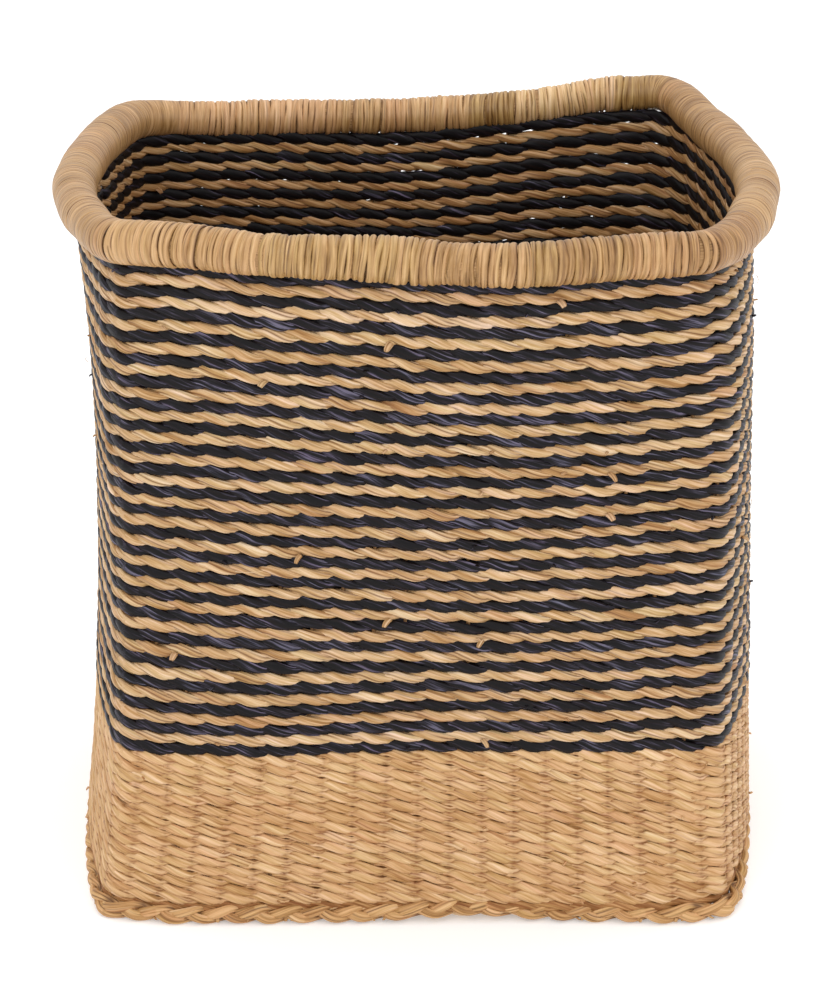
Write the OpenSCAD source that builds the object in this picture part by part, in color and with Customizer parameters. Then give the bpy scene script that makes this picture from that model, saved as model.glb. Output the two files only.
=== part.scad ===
// Storage basket of twined grass: a wall of paired weft strands twisted
// round upright stakes, a braided foot, a woven base and a wrapped rim.
// Z is up. The origin is the centre of the footprint, on the surface that
// the basket stands on. All sizes are in millimetres.

/* [Plan] */
// Half width between the corner edges, to the middle of the wall
corner_x = 139; // [110:1:180]
// Half depth between the corner edges, to the middle of the wall
corner_y = 127; // [100:1:170]
// Outward bow of the front and back walls at the foot
bow_fb_foot = 3; // [2:1:20]
// Outward bow of the front and back walls at the rim
bow_fb_rim = 24; // [12:1:40]
// Outward bow of the left and right walls at the foot
bow_lr_foot = 20; // [10:1:30]
// Outward bow of the left and right walls at the rim
bow_lr_rim = 14; // [10:1:30]
// Radius of the wall's corners at the foot, to the middle of the wall
corner_r_foot = 16; // [14:1:24]
// Radius of the wall's corners at the rim, to the middle of the wall
corner_r_rim = 44; // [30:1:55]

/* [Weave] */
// Number of dark courses
dark_n = 23; // [23:1:23]
// Number of courses in the plain band above the foot
plain_n = 15; // [12:1:16]
// Height taken by one course of the striped wall
pitch = 5.05; // [4.6:0.05:5.4]
// Height taken by one course of the plain band
plain_pitch = 5; // [4.6:0.05:5.4]
// Height of one strand, a little under its pitch
strand_h = 4.9; // [4.4:0.1:4.9]
// Thickness of one strand, inside or outside the stakes
strand_t = 3; // [2.4:0.1:3.4]

/* [Stakes] */
// Diameter of an upright stake
stake_d = 3; // [2:0.1:3]
// Number of stakes along the front, and along the back
stakes_fb = 18; // [12:2:22]
// Number of stakes along the left, and along the right
stakes_lr = 16; // [12:2:22]

/* [Foot and base] */
// Height of the braided foot
foot_h = 9; // [8:0.5:12]
// Gap between the standing surface and the underside of the base
base_lift = 2.5; // [1:0.5:4]
// Thickness of the woven base
base_t = 6; // [5:0.5:7]

/* [Rim] */
// Outer diameter of the wrapped rim
rim_d = 18; // [15:0.5:22]
// Thickness of the wrapping on the rim
wrap_t = 1.6; // [1.2:0.1:2]
// How far the middle of the rim stands outside the middle of the wall
rim_out = 4; // [2:0.5:5]

/* [Hidden] */
$fn = 48;
STRAW = [0.80, 0.62, 0.37];
PALE = [0.84, 0.69, 0.45];
STALK = [0.70, 0.52, 0.30];
NAVY = [0.12, 0.11, 0.16];

plain_top = foot_h + plain_n * plain_pitch;
wall_top = plain_top + (2 * dark_n - 1) * pitch;
rim_z = wall_top + rim_d / 2 - 0.6;
gap = 0.1;

// ---------- plan curve: four bowed sides joined by four round corners ----
// Every side is one arc through two corner points, bowed outward.
function mixf(a, b, t) = a + (b - a) * t;
function bow_r(w, g) = (w * w + g * g) / (2 * g);
function bow_fb(t) = mixf(bow_fb_foot, bow_fb_rim, t);
function bow_lr(t) = mixf(bow_lr_foot, bow_lr_rim, t);
// The corners keep their radius over the lower wall and open out above it
function corner_r(t) = mixf(corner_r_foot, corner_r_rim, t * t * t);
// Arc radii of the front/back and the left/right sides at height fraction t
function rad_fb(t) = bow_r(corner_x, bow_fb(t));
function rad_lr(t) = bow_r(corner_y, bow_lr(t));
// Distance from the axis to the centre of a side's arc, on its far side
function cen_fb(t) = rad_fb(t) - corner_y - bow_fb(t);
function cen_lr(t) = rad_lr(t) - corner_x - bow_lr(t);
// Centre of the corner arc that touches both side arcs from inside, in the
// quarter where x and y are positive
function corner_c(t, r) =
    let (c1 = [0, -cen_fb(t)], c2 = [-cen_lr(t), 0],
         r1 = rad_fb(t) - r, r2 = rad_lr(t) - r,
         d = norm(c2 - c1), a = (r1 * r1 - r2 * r2 + d * d) / (2 * d),
         h = sqrt(r1 * r1 - a * a), u = (c2 - c1) / d)
    c1 + a * u + h * [u[1], -u[0]];
// Half angle that the front/back arc and the left/right arc each span
function half_fb(t, r) = let (c = corner_c(t, r)) atan2(c[0], c[1] + cen_fb(t));
function half_lr(t, r) = let (c = corner_c(t, r)) atan2(c[1], c[0] + cen_lr(t));

// One arc of the plan, swept from a flat section drawn with its middle at
// the plan curve: x runs outward and y runs up
module arc(c, r, mid, half, z) {
    translate([c[0], c[1], z])
        rotate([0, 0, mid - half])
            rotate_extrude(angle = 2 * half, $fn = r > 200 ? 900 : 96)
                translate([r, 0]) children();
}

// A whole ring: children(0) is the section of the sides, children(1) the
// slightly smaller section of the corners, which run on into the sides
module ring(t, r, z) {
    c = corner_c(t, r);
    hf = half_fb(t, r);
    hl = half_lr(t, r);
    hc = (90 - hf - hl) / 2 + 1 / r * 57.3;
    arc([0, -cen_fb(t)], rad_fb(t), 90, hf, z) children(0);
    arc([0, cen_fb(t)], rad_fb(t), 270, hf, z) children(0);
    arc([-cen_lr(t), 0], rad_lr(t), 0, hl, z) children(0);
    arc([cen_lr(t), 0], rad_lr(t), 180, hl, z) children(0);
    for (k = [0 : 3]) {
        sx = (k == 0 || k == 3) ? 1 : -1;
        sy = k < 2 ? 1 : -1;
        m = k == 0 ? (90 - hf + hl) / 2
          : k == 1 ? (90 + hf + 180 - hl) / 2
          : k == 2 ? (180 + hl + 270 - hf) / 2
          : (270 + hf + 360 - hl) / 2;
        arc([sx * c[0], sy * c[1]], r, m, hc, z) children(1);
    }
}

// Section of one strand: a bar with bevelled edges
module strand_section(x, w, h, inset) {
    b = 0.9;
    a = w / 2 - inset;
    e = h / 2 - inset;
    translate([x, 0])
        polygon([[-a, -e + b], [-a + b, -e], [a - b, -e], [a, -e + b],
                 [a, e - b], [a - b, e], [-a + b, e], [-a, e - b]]);
}

// One course: a strand outside the stakes and a strand inside them
module course(z) {
    t = z / rim_z;
    off = stake_d / 2 + gap + strand_t / 2;
    for (s = [-1, 1])
        ring(t, corner_r(t), z) {
            strand_section(s * off, strand_t, strand_h, 0);
            strand_section(s * off, strand_t, strand_h, 0.12);
        }
    crossings(t, z, strand_h - 2.4);
}

// The two strands change places between stakes. The crossing in the middle
// of each side is drawn, and holds the pair together: h is its height
module crossings(t, z, h) {
    w = stake_d + 2 * gap + 2;
    for (s = [-1, 1]) {
        translate([s * (corner_x + bow_lr(t)), 0, z]) cube([w, 4, h], center = true);
        translate([0, s * (corner_y + bow_fb(t)), z]) cube([4, w, h], center = true);
    }
}

// Height of the middle of course n of the striped wall, counted from the top
function stripe_z(n) = wall_top - pitch * (n + 0.5);

module dark_course(n) { color(NAVY) course(stripe_z(2 * (n - 1))); }
module natural_course(n) { color(STRAW) course(stripe_z(2 * n - 1)); }
module plain_courses() {
    color(STRAW)
    {
        for (i = [0 : plain_n - 1]) course(foot_h + plain_pitch * (i + 0.5));
        // The plain courses are beaten down hard on each other, so their
        // crossings meet from the lowest course to the highest
        for (i = [0 : plain_n - 2]) {
            z = foot_h + plain_pitch * (i + 1);
            crossings(z / rim_z, z, plain_pitch - 1);
        }
    }
}

// ---------- stakes ---------------------------------------------------------
// Point on the plan curve of the front side (s = 1 back, s = -1 front) at
// fraction f from -1 to 1 along it
function pt_fb(t, f, s) =
    let (a = f * half_fb(t, corner_r(t)))
    [rad_fb(t) * sin(a), s * (rad_fb(t) * cos(a) - cen_fb(t))];
function pt_lr(t, f, s) =
    let (a = f * half_lr(t, corner_r(t)))
    [s * (rad_lr(t) * cos(a) - cen_lr(t)), rad_lr(t) * sin(a)];

// A straight rod between two points
module rod(p, q, d) {
    v = q - p;
    translate(p)
        rotate([0, acos(v[2] / norm(v)), atan2(v[1], v[0])])
            cylinder(h = norm(v), d = d, $fn = 24);
}

// The stake that stands in a corner, sx and sy giving the quarter
function pt_corner(t, sx, sy) =
    let (r = corner_r(t), c = corner_c(t, r),
         m = (90 - half_fb(t, r) + half_lr(t, r)) / 2)
    [sx * (c[0] + r * cos(m)), sy * (c[1] + r * sin(m))];

stake_z0 = foot_h;
stake_z1 = wall_top - 0.6;

// A stake stands along the line between its places at the foot and the rim
module stake(a, b) { rod([a[0], a[1], stake_z0], [b[0], b[1], stake_z1], stake_d); }
module stakes_fb_side(s) {
    t0 = stake_z0 / rim_z;
    t1 = stake_z1 / rim_z;
    for (i = [0 : stakes_fb - 1]) {
        f = -1 + 2 * (i + 0.5) / stakes_fb;
        stake(pt_fb(t0, f, s), pt_fb(t1, f, s));
    }
}
module stakes_lr_side(s) {
    t0 = stake_z0 / rim_z;
    t1 = stake_z1 / rim_z;
    for (i = [0 : stakes_lr - 1]) {
        f = -1 + 2 * (i + 0.5) / stakes_lr;
        stake(pt_lr(t0, f, s), pt_lr(t1, f, s));
    }
}
module stakes_corner(s) {
    t0 = stake_z0 / rim_z;
    t1 = stake_z1 / rim_z;
    for (sx = [-1, 1]) stake(pt_corner(t0, sx, s), pt_corner(t1, sx, s));
}
// The front and back sides take the two corner stakes beside them
module stakes_front() { color(STALK) { stakes_fb_side(-1); stakes_corner(-1); } }
module stakes_back() { color(STALK) { stakes_fb_side(1); stakes_corner(1); } }
module stakes_right() { color(STALK) stakes_lr_side(1); }
module stakes_left() { color(STALK) stakes_lr_side(-1); }

// ---------- foot -----------------------------------------------------------
// The braid that turns the stakes under, as one rounded ring
module foot_braid() {
    h = foot_h - gap;
    color(STRAW)
        ring(0, corner_r_foot, h / 2)
        {
            foot_section(9.4, h, 0);
            foot_section(9.4, h, 0.12);
        }
}
module foot_section(w, h, inset) {
    b = 2.4;
    a = w / 2 - inset;
    e = h / 2 - inset;
    polygon([[-a, -e + b], [-a + b, -e], [a - b, -e], [a, -e + b],
             [a, e - b], [a - b, e], [-a + b, e], [-a, e - b]]);
}

// ---------- base -----------------------------------------------------------
// Outline of the plan at the foot, moved in by d, as a closed list of points
function outline(d) =
    let (r = corner_r_foot, c = corner_c(0, r), hf = half_fb(0, r), hl = half_lr(0, r),
         q = concat(
             [for (i = [0 : 7]) let (a = hl * i / 7)
                 [(rad_lr(0) - d) * cos(a) - cen_lr(0), (rad_lr(0) - d) * sin(a)]],
             [for (i = [1 : 5]) let (a = hl + (90 - hf - hl) * i / 6)
                 [c[0] + (r - d) * cos(a), c[1] + (r - d) * sin(a)]],
             [for (i = [0 : 7]) let (a = 90 - hf + hf * i / 7)
                 [(rad_fb(0) - d) * cos(a), (rad_fb(0) - d) * sin(a) - cen_fb(0)]]),
         n = len(q))
    concat(q,
           [for (i = [n - 2 : -1 : 0]) [-q[i][0], q[i][1]]],
           [for (i = [1 : n - 1]) [-q[i][0], -q[i][1]]],
           [for (i = [n - 2 : -1 : 1]) [q[i][0], -q[i][1]]]);

base_layer = (base_t - 2 - 2 * gap) / 2;
module base_plate(z) {
    translate([0, 0, z]) linear_extrude(height = base_layer) polygon(outline(4.8));
}
module base_weave_lower() { color(STRAW) base_plate(base_lift); }
module base_weave_upper() { color(STRAW) base_plate(base_lift + base_t - base_layer); }
// Rods across the base from front to back, held between its two layers
module base_rods() {
    z = base_lift + base_t / 2;
    color(STALK)
        for (i = [0 : stakes_fb - 1]) {
            x = (corner_x - corner_r_foot) * (-1 + 2 * (i + 0.5) / stakes_fb);
            rod([x, -(corner_y - 6), z], [x, corner_y - 6, z], 2);
        }
}

// ---------- rim ------------------------------------------------------------
// The rim follows the top of the wall a little further out
rim_r = corner_r(1);
module rim_core() {
    d = rim_d - 2 * wrap_t - 2 * gap;
    color(STALK)
        ring(1, rim_r, rim_z) {
            translate([rim_out, 0]) circle(d = d);
            translate([rim_out, 0]) circle(d = d - 0.3);
        }
}
module wrap_section(inset) {
    translate([rim_out, 0])
        difference() {
            circle(d = rim_d - inset);
            circle(d = rim_d - 2 * wrap_t + inset);
        }
}
// The wrapping of one side and of the corner that follows it,
// k = 0 right, 1 back, 2 left, 3 front
module wrap_side(k) {
    c = corner_c(1, rim_r);
    hf = half_fb(1, rim_r);
    hl = half_lr(1, rim_r);
    hc = (90 - hf - hl) / 2;
    cut = 0.06;
    if (k == 0) arc([-cen_lr(1), 0], rad_lr(1), 0, hl - cut / 6, rim_z) wrap_section(0);
    if (k == 1) arc([0, -cen_fb(1)], rad_fb(1), 90, hf - cut / 6, rim_z) wrap_section(0);
    if (k == 2) arc([cen_lr(1), 0], rad_lr(1), 180, hl - cut / 6, rim_z) wrap_section(0);
    if (k == 3) arc([0, cen_fb(1)], rad_fb(1), 270, hf - cut / 6, rim_z) wrap_section(0);
    sx = (k == 0 || k == 3) ? 1 : -1;
    sy = k < 2 ? 1 : -1;
    m = k == 0 ? (90 - hf + hl) / 2
      : k == 1 ? (90 + hf + 180 - hl) / 2
      : k == 2 ? (180 + hl + 270 - hf) / 2
      : (270 + hf + 360 - hl) / 2;
    arc([sx * c[0], sy * c[1]], rim_r, m, hc - cut, rim_z) wrap_section(0.0);
}
module rim_wrap_right() { color(PALE) wrap_side(0); }
module rim_wrap_back() { color(PALE) wrap_side(1); }
module rim_wrap_left() { color(PALE) wrap_side(2); }
module rim_wrap_front() { color(PALE) wrap_side(3); }

dark_course(1);  // dark_course_01
dark_course(2);  // dark_course_02
dark_course(3);  // dark_course_03
dark_course(4);  // dark_course_04
dark_course(5);  // dark_course_05
dark_course(6);  // dark_course_06
dark_course(7);  // dark_course_07
dark_course(8);  // dark_course_08
dark_course(9);  // dark_course_09
dark_course(10);  // dark_course_10
dark_course(11);  // dark_course_11
dark_course(12);  // dark_course_12
dark_course(13);  // dark_course_13
dark_course(14);  // dark_course_14
dark_course(15);  // dark_course_15
dark_course(16);  // dark_course_16
dark_course(17);  // dark_course_17
dark_course(18);  // dark_course_18
dark_course(19);  // dark_course_19
dark_course(20);  // dark_course_20
dark_course(21);  // dark_course_21
dark_course(22);  // dark_course_22
dark_course(23);  // dark_course_23
natural_course(1);  // natural_course_01
natural_course(2);  // natural_course_02
natural_course(3);  // natural_course_03
natural_course(4);  // natural_course_04
natural_course(5);  // natural_course_05
natural_course(6);  // natural_course_06
natural_course(7);  // natural_course_07
natural_course(8);  // natural_course_08
natural_course(9);  // natural_course_09
natural_course(10);  // natural_course_10
natural_course(11);  // natural_course_11
natural_course(12);  // natural_course_12
natural_course(13);  // natural_course_13
natural_course(14);  // natural_course_14
natural_course(15);  // natural_course_15
natural_course(16);  // natural_course_16
natural_course(17);  // natural_course_17
natural_course(18);  // natural_course_18
natural_course(19);  // natural_course_19
natural_course(20);  // natural_course_20
natural_course(21);  // natural_course_21
natural_course(22);  // natural_course_22
plain_courses();
stakes_front();
stakes_right();
stakes_back();
stakes_left();
foot_braid();
base_weave_lower();
base_weave_upper();
base_rods();
rim_core();
rim_wrap_front();
rim_wrap_right();
rim_wrap_back();
rim_wrap_left();
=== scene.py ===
import math

import bpy
import numpy as np
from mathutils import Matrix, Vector


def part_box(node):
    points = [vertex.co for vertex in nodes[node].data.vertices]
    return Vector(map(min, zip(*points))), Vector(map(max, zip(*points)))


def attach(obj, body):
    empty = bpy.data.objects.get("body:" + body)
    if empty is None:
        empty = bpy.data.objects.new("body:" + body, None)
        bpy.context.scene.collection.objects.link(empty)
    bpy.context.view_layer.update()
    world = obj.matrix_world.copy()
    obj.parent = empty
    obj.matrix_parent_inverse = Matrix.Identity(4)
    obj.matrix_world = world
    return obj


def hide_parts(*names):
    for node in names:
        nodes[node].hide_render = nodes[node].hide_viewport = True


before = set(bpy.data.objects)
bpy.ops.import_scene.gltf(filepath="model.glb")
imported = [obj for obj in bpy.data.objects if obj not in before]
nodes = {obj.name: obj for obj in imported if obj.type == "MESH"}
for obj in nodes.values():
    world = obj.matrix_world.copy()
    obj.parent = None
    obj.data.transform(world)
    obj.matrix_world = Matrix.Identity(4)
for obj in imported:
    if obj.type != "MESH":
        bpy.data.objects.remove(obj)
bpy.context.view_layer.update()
MM = 0.001

# ---------------------------------------------------------------------------
# Sizes taken from the frame, in millimetres
# ---------------------------------------------------------------------------


def box_mm(name):
    lo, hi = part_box(name)
    return np.array(lo) / MM, np.array(hi) / MM


dark_names = sorted(n for n in nodes if n.startswith("dark_course_"))
natural_names = sorted(n for n in nodes if n.startswith("natural_course_"))


def mid_z(name):
    lo, hi = box_mm(name)
    return (lo[2] + hi[2]) / 2


DARK_Z = [mid_z(n) for n in dark_names]
NATURAL_Z = [mid_z(n) for n in natural_names]
PITCH = (DARK_Z[0] - DARK_Z[-1]) / (2 * (len(DARK_Z) - 1))
WALL_H = DARK_Z[0] + PITCH / 2
plain_lo, plain_hi = box_mm("plain_courses")
PLAIN_LO = plain_lo[2]
PLAIN_HI = DARK_Z[-1] - PITCH / 2
PLAIN_N = int(round((PLAIN_HI - PLAIN_LO) / 5.0))
foot_lo, foot_hi = box_mm("foot_braid")
FOOT_H = foot_hi[2]
rim_lo, rim_hi = box_mm("rim_wrap_front")
RIM_Z = (rim_lo[2] + rim_hi[2]) / 2
rim_all = [box_mm("rim_wrap_" + s) for s in ("front", "right", "back", "left")]
RIM_X = max(b[1][0] for b in rim_all) - (rim_hi[2] - rim_lo[2]) / 2
RIM_Y = max(b[1][1] for b in rim_all) - (rim_hi[2] - rim_lo[2]) / 2
course_lo, course_hi = box_mm(dark_names[0])
WALL_X_TOP = course_hi[0] - 4.6
WALL_Y_TOP = course_hi[1] - 4.6

# ---------------------------------------------------------------------------
# Plan of the wall. u counts round the basket from the front left corner,
# through the front (0-1), right (1-2), back (2-3) and left (3-4) sides
# ---------------------------------------------------------------------------
M = 120
CX, CY = 139.0, 127.0
SGN = [(-1, -1), (1, -1), (1, 1), (-1, 1)]
# How far the hand-made wall strays from the even plan: corners at the foot,
# half way up and at the top; outward bows; roundness of the corners
C_DEV = [
    [(-3.0, -0.4), (2.2, -1.6), (6.6, 0), (-6.4, 0)],
    [(9.4, 0), (-4.2, -1), (3, -1), (-5, 0)],
    [(4.5, -2), (-0.3, -5), (0, 1), (-2, 0)],
]
BOWS = [[-2, 21.6, 4, 18.2], [9, 20.6, 10, 14], [15, 15.2, 14, 15.6]]
RADII = [[9, 11, 18, 18], [15, 14, 21, 18], [27, 21, 26, 24]]


def quad3(a, b, c, t):
    return a * (1 - t) * (1 - 2 * t) + b * 4 * t * (1 - t) + c * t * (2 * t - 1)


def side_points(A, B, bow, ra, rb, n):
    L = np.linalg.norm(B - A)
    d = (B - A) / L
    nrm = np.array([d[1], -d[0]])
    t = np.linspace(ra / L, 1 - rb / L, n)
    return A + np.outer(t, B - A) + np.outer(4 * t * (1 - t) * bow, nrm)


def closed_plan(corners, bows, radii, n=40):
    sides = [side_points(corners[i], corners[(i + 1) % 4], bows[i], radii[i], radii[(i + 1) % 4], n) for i in range(4)]
    halves = []
    for i in range(4):
        a, b = sides[i - 1], sides[i]
        d0 = a[-1] - a[-2]
        d0 /= np.linalg.norm(d0)
        d1 = b[1] - b[0]
        d1 /= np.linalg.norm(d1)
        st = np.linalg.solve(np.array([d0, -d1]).T, b[0] - a[-1])
        p1 = a[-1] + d0 * st[0]
        tt = np.linspace(0, 1, 21)[:, None]
        bz = (1 - tt) ** 2 * a[-1] + 2 * tt * (1 - tt) * p1 + tt ** 2 * b[0]
        halves.append((bz[:11], bz[10:]))
    out = []
    for i in range(4):
        pts = np.concatenate([halves[i][1], sides[i][1:-1], halves[(i + 1) % 4][0]])
        seg = np.linalg.norm(np.diff(pts, axis=0), axis=1)
        L = np.concatenate([[0], np.cumsum(seg)])
        q = np.linspace(0, L[-1], M + 1)[:-1]
        out.append(np.stack([np.interp(q, L, pts[:, 0]), np.interp(q, L, pts[:, 1])], 1))
    return np.concatenate(out)


def periodic(vals, x):
    """Smooth closed curve through evenly spaced values; x runs from 0 to 1."""
    vals = np.asarray(vals, float)
    n = len(vals)
    f = np.mod(x, 1.0) * n
    i = np.floor(f).astype(int) % n
    t = f - np.floor(f)
    p0, p1, p2, p3 = vals[(i - 1) % n], vals[i], vals[(i + 1) % n], vals[(i + 2) % n]
    if vals.ndim > 1:
        t = t[:, None]
    return 0.5 * (2 * p1 + (p2 - p0) * t + (2 * p0 - 5 * p1 + 4 * p2 - p3) * t ** 2 + (3 * p1 - p0 - 3 * p2 + p3) * t ** 3)


def smooth01(x):
    x = np.clip(x, 0, 1)
    return x * x * (3 - 2 * x)


def wall_plan(s):
    t = min(max(s / WALL_H, 0.0), 1.04)
    C = []
    for i in range(4):
        p = [np.array([SGN[i][0] * CX + C_DEV[l][i][0], SGN[i][1] * CY + C_DEV[l][i][1]], float) for l in range(3)]
        C.append(quad3(p[0], p[1], p[2], t))
    b = [quad3(BOWS[0][i], BOWS[1][i], BOWS[2][i], t) for i in range(4)]
    r = [quad3(RADII[0][i], RADII[1][i], RADII[2][i], t) for i in range(4)]
    return closed_plan(C, b, r)


# Middle line of the rim: a hand-pulled hoop, x, y, and rise above the even rim
RIM_PTS = np.array([
    (-127, -124, 1.2), (-115, -131, 2.2), (-92, -140, 3.1), (-69, -146, 1.6), (-45, -148.5, 1.0), (-22, -147.5, 0.2),
    (0, -147.5, -1.2), (20, -150.5, -1.7), (38, -152.5, -1.6), (58, -150.5, -1.2), (78, -146, -0.7), (99, -141.5, -0.5),
    (119, -139.5, 0.2), (128, -131, 0.2), (136, -116.5, 0), (144, -94, 0), (150, -70, 0), (155, -42, 0),
    (157.5, -14, 0), (157, 14, 0), (155, 38, 0), (151.5, 66, 0.3), (145.3, 94, 1.4), (139.8, 116, 3.8),
    (134.5, 134, 6.2), (125.5, 144, 7.6), (112, 146, 6.8), (94, 146, 5.9), (72, 145, 2.0), (50, 144, -0.6),
    (26, 145, -2.9), (0, 144.5, -4.2), (-26, 142.5, -4.4), (-52, 141, -4.4), (-78, 138.5, -4.2), (-102, 133.5, -3.7),
    (-122, 129, -2.2), (-136, 122, -1.0), (-144, 110, 0), (-150, 85, 0), (-154.5, 52, 0), (-156.5, 17, 0),
    (-156.5, -17, 0), (-154, -40, 0), (-149, -66, 0), (-141.5, -90, 0), (-135.3, -109, 0.4),
], float)


def resample(P, n):
    """A smooth closed curve through P, at n even steps."""
    d = periodic(P, np.linspace(0, 1, 4001)[:-1])
    d = np.concatenate([d, d[:1]])
    L = np.concatenate([[0], np.cumsum(np.linalg.norm(np.diff(d, axis=0), axis=1))])
    q = np.linspace(0, L[-1], n + 1)[:-1]
    return np.stack([np.interp(q, L, d[:, k]) for k in range(P.shape[1])], 1), L[-1]


NL = 66
LEV = np.linspace(-2.0, WALL_H + 8.0, NL)
GRID = np.zeros((NL, 4 * M, 4))

rim_line, rim_len = resample(RIM_PTS, 1600)
rim_ang = np.unwrap(np.arctan2(rim_line[:, 1], rim_line[:, 0]))


def rim_at_angle(a):
    """Rim point in the direction a from the middle."""
    base = rim_ang[0]
    a = base + np.mod(a - base, 2 * np.pi)
    ang = np.concatenate([rim_ang, [rim_ang[0] + 2 * np.pi]])
    return np.stack([np.interp(a, ang, np.append(rim_line[:, k], rim_line[0, k])) for k in range(3)], 1)


for j, s in enumerate(LEV):
    P = wall_plan(s)
    top = wall_plan(WALL_H)
    # the last courses are drawn out to the rim they are sewn into
    w = float(smooth01((s - (WALL_H - 62)) / 66.0))
    if w > 0:
        a = np.arctan2(top[:, 1], top[:, 0])
        R = rim_at_angle(a)
        r_top = np.linalg.norm(top, axis=1)
        r_rim = np.linalg.norm(R[:, :2], axis=1)
        gap_r = (r_rim - 4.2 + 2.8 * np.clip(-np.cos(a), 0, 1) ** 2 * (np.sin(a) < 0.3)) - r_top
        P = P * (1 + (w * gap_r * 0.9 / r_top))[:, None]
    # the foot of the front stands forward
    uu = np.arange(4 * M) / M
    fwd = smooth01(uu / 0.14) * smooth01((1.0 - uu) / 0.12) * (uu < 1)
    P = P - np.stack([0 * fwd, 6.9 * fwd * float(smooth01((76 - s) / 76))], 1)
    d = np.roll(P, -1, 0) - np.roll(P, 1, 0)
    n = np.stack([d[:, 1], -d[:, 0]], 1)
    n /= np.linalg.norm(n, axis=1)[:, None]
    for _ in range(2):
        n = (np.roll(n, 1, 0) + 2 * n + np.roll(n, -1, 0)) / 4
    n /= np.linalg.norm(n, axis=1)[:, None]
    GRID[j, :, :2] = P
    GRID[j, :, 2:] = n

# Unevenness of the courses' height, at even steps along each side, from the
# top of the wall (first row) to the foot
DZ_FRONT = np.array([
    [0.3, 2.8, 3.3, 1.1, 1.0, -0.3, -1.4, -1.7, -1.5, -0.6, -0.8, 0.3, 0.2],
    [1.0, 2.7, 3.0, 1.8, 1.3, 0.4, -1.5, -1.8, -2.3, -1.4, -2.6, -1.6, 0.4],
    [1.6, 2.4, 2.4, 2.1, 1.5, 1.1, -0.1, 0.2, -1.2, -0.6, -0.8, 0.6, 1.8],
    [4.0, 3.6, 2.5, 1.6, 1.7, 1.5, 0.7, 0.7, 0.6, 0.9, 1.4, 2.4, 1.2],
    [5.4, 4.4, 3.0, 2.4, 2.5, 1.9, 1.8, 1.1, 1.0, 1.2, 0.8, 1.9, 1.8],
    [1.7, -0.4, -0.9, -1.1, 0.3, 1.6, 2.6, 2.4, 2.2, 2.0, 1.6, 2.4, 1.7],
    [-2.4, -2.4, -1.5, -0.5, 0.8, 1.5, 1.6, 1.5, 1.2, 0.9, 0.5, 0.3, 0],
    [0, 0, 0.1, 0.1, 0.2, 0.3, 0.3, 0.3, 0.2, 0.1, 0.1, 0, 0],
])
DZ_BACK = np.array([
    [7.0, 7.6, 5.9, 3.5, 0.9, -2.1, -4.2, -4.8, -3.8, -3.1, -2.4, -1.7, -0.8],
    [5.2, 5.4, 4.2, 2.6, -0.1, -2.4, -3.6, -3.4, -2.6, -1.6, -0.5, 0.3, 0.4],
    [2.4, 2.4, 1.9, 1.2, 0, -1.2, -2.0, -1.8, -1.2, -0.6, 0, 0.2, 0.2],
    [1.0, 1.0, 0.8, 0.5, 0, -0.6, -1.0, -1.0, -0.6, 0, 0.4, 0.4, 0.4],
    [0.4, 0.2, 0, 0, 0, -0.4, -0.8, -0.6, 0, 0.4, 0.6, 0.5, 0.4],
    [0.3, 0.3, 0.2, 0, 0, 0, 0, 0, 0.2, 0.4, 0.4, 0.3, 0.2],
    [0.1, 0, 0, 0, 0, 0, 0, 0, 0, 0, 0, 0, 0],
    [0, 0, 0, 0, 0, 0, 0, 0, 0, 0, 0, 0, 0],
])
DZ_ROWS = np.array([WALL_H, 268.0, 228.0, 188.0, 147.0, 107.0, 40.0, 0.0])


def dz_at(u, s):
    u = np.mod(u, 4.0)
    side = np.floor(u).astype(int) % 4
    f = u - np.floor(u)
    cols = f * 12
    i = np.minimum(np.floor(cols).astype(int), 11)
    t = cols - i
    t = t * t * (3 - 2 * t)
    rowpos = np.interp(-np.clip(s, 0, WALL_H), -DZ_ROWS, np.arange(len(DZ_ROWS)))
    r = np.minimum(np.floor(rowpos).astype(int), len(DZ_ROWS) - 2)
    q = rowpos - r

    def look(T):
        a = T[r, i] * (1 - t) + T[r, i + 1] * t
        b = T[r + 1, i] * (1 - t) + T[r + 1, i + 1] * t
        return a * (1 - q) + b * q

    def ends(T, e):
        return T[r, e] * (1 - q) + T[r + 1, e] * q

    front, back = look(DZ_FRONT), look(DZ_BACK)
    g = smooth01((f - 0.55) / 0.45)
    right = ends(DZ_FRONT, 12) * (1 - g) + ends(DZ_BACK, 0) * g
    left = ends(DZ_BACK, 12) * (1 - smooth01(f)) + ends(DZ_FRONT, 0) * smooth01(f)
    rise = np.where(side == 0, front, np.where(side == 1, right, np.where(side == 2, back, left)))
    return rise


def surf(u, s, off=0.0, lift=0.0):
    """Point of the wall at u and height s, off millimetres outside its middle,
    with the direction that is outward there."""
    u, s = np.broadcast_arrays(np.asarray(u, float), np.asarray(s, float))
    x = np.mod(u, 4.0) * M
    i = np.floor(x).astype(int)
    t = (x - i)[..., None]
    i0, i1 = i % (4 * M), (i + 1) % (4 * M)
    y = np.clip((s - LEV[0]) / (LEV[1] - LEV[0]), 0, NL - 1.001)
    j = np.floor(y).astype(int)
    q = (y - j)[..., None]
    g = (GRID[j, i0] * (1 - t) + GRID[j, i1] * t) * (1 - q) + (GRID[j + 1, i0] * (1 - t) + GRID[j + 1, i1] * t) * q
    n = g[..., 2:]
    n = n / np.linalg.norm(n, axis=-1)[..., None]
    p = g[..., :2] + n * np.asarray(off)[..., None]
    z = s + dz_at(u, s) + lift
    N3 = np.concatenate([n, np.zeros_like(n[..., :1])], -1)
    return np.concatenate([p, z[..., None]], -1), N3


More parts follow.
